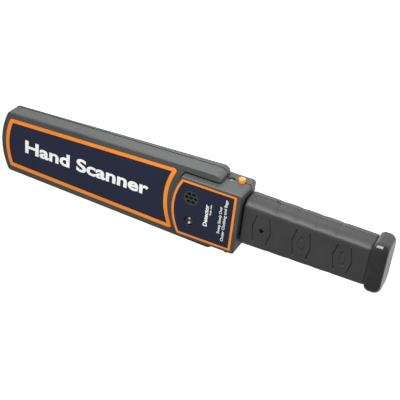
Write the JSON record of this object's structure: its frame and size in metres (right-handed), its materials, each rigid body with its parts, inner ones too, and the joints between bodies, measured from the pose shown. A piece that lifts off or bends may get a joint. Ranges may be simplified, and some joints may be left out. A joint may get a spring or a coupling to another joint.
{
  "type": "handheld metal detector wand",
  "caption": "Handheld security metal-detector wand: flat tapered search paddle, raised control box with grille and lamps, rubber battery grip and sliding end cap.",
  "frame": {"origin": "middle of the footprint, on the plane of the rear faces that the wand lies on", "axes": "+X from the paddle tip to the end cap, +Y towards the push button side, +Z out of the label faces"},
  "size_m": [0.4244, 0.0862, 0.0388],
  "materials": {
    "housing_plastic": "satin moulded ABS, fine grain",
    "grip_rubber": "soft-touch rubber",
    "cap_plastic": "glossy moulded ABS",
    "label_print": "printed polyester sheet, satin",
    "button_orange": "satin",
    "black_plastic": "satin",
    "grille_plastic": "satin",
    "trimmer_cream": "satin",
    "lamp_red": "clear tinted epoxy",
    "lamp_green": "clear tinted epoxy",
    "board_green": "solder mask",
    "copper_wire": "enamelled copper",
    "steel": "zinc plated",
    "can_aluminium": "satin",
    "cone_paper": "matte",
    "foam": "open-cell foam",
    "wire_sleeve": "PVC sleeve",
    "battery_jacket": "printed metal jacket"
  },
  "bodies": {
    "wand": {"front_housing": "housing_plastic", "rear_housing": "housing_plastic", "paddle_label": "label_print", "control_label": "label_print", "front_grip": "grip_rubber", "rear_grip": "grip_rubber", "battery_tube": "black_plastic", "coil_former": "black_plastic", "search_coil": "copper_wire", "coil_leads": "copper_wire", "main_board": "board_green", "board_chips": "black_plastic", "board_capacitors": "can_aluminium", "speaker_gasket": "foam", "speaker_frame": "steel", "speaker_cone": "cone_paper", "speaker_grille": "grille_plastic", "speaker_leads": "wire_sleeve", "lamp_holder": "grille_plastic", "red_lamp": "lamp_red", "green_lamp": "lamp_green", "button_switch": "black_plastic", "button_spring": "steel", "trimmer_body": "black_plastic", "power_switch": "black_plastic", "switch_leads": "wire_sleeve", "vibration_motor": "steel", "motor_saddle": "foam", "motor_leads": "wire_sleeve", "battery": "battery_jacket", "battery_terminals": "steel", "battery_snap": "black_plastic", "battery_foam": "foam", "battery_leads": "wire_sleeve", "housing_screws": "steel", "board_screws": "steel", "grip_screws": "steel"},
    "button": {"push_button": "button_orange", "switch_plunger": "black_plastic"},
    "slider": {"power_slider": "black_plastic"},
    "trimmer": {"trimmer_rotor": "trimmer_cream"},
    "weight": {"eccentric_weight": "steel"},
    "cap": {"battery_cap": "cap_plastic"}
  },
  "joints": [
    {"name": "button_press", "type": "slide", "parent": "wand", "child": "button", "axis": [0, -1, 0], "range_m": [0, 0.0012], "stiffness_N_per_m": 800, "deforming": ["button_spring"]},
    {"name": "power_slide", "type": "slide", "parent": "wand", "child": "slider", "axis": [0, 0, 1], "range_m": [-0.004, 0]},
    {"name": "trimmer_turn", "type": "hinge", "parent": "wand", "child": "trimmer", "pos_m": [0.0455, 0.029, 0.014], "axis": [0, 1, 0], "range_deg": [-135, 135]},
    {"name": "weight_spin", "type": "hinge", "parent": "wand", "child": "weight", "pos_m": [0.0248, -0.018, 0.0142], "axis": [1, 0, 0], "continuous": true},
    {"name": "cap_slide", "type": "slide", "parent": "wand", "child": "cap", "axis": [0, 0, 1], "range_m": [0, 0.029]}
  ]
}
